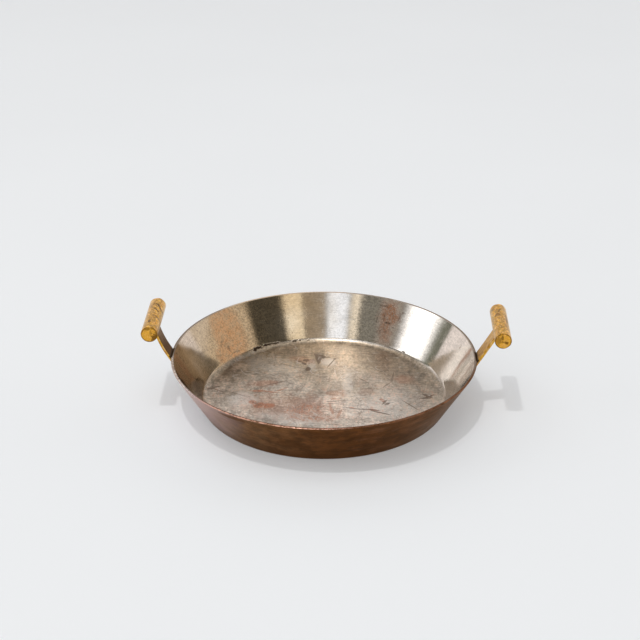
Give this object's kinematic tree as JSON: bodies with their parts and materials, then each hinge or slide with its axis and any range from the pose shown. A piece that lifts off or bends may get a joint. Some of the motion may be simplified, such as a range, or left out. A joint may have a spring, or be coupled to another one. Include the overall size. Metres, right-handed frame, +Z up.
{
  "type": "two-handled copper pan",
  "caption": "Low round copper pan with flared wall, flat floor, tin lining and opposed round brass bar grips on riveted straps, for cooking and serving.",
  "frame": {"origin": "centre of the flat underside, on the pan's axis", "axes": "+Z up along the pan's axis; +X towards the right handle as seen from the front (-Y) side; the two handles lie near the X axis"},
  "size_m": [0.3542, 0.2998, 0.093],
  "materials": {
    "copper": "aged copper, brown heat patina, satin, bright along the rim",
    "tin": "worn tin, finely wiped round the pan, with copper showing through at the worn places",
    "strap_brass": "satin brass bar, lightly tarnished",
    "grip_brass": "golden brass with mottled orange-brown patina and scratches",
    "rivet_copper": "hammered copper rivet heads, aged"
  },
  "bodies": {
    "root": {"copper_body": "copper", "tin_lining": "tin", "left_strap": "strap_brass", "right_strap": "strap_brass", "left_grip": "grip_brass", "right_grip": "grip_brass", "left_rivets": "rivet_copper", "right_rivets": "rivet_copper"}
  },
  "joints": []
}
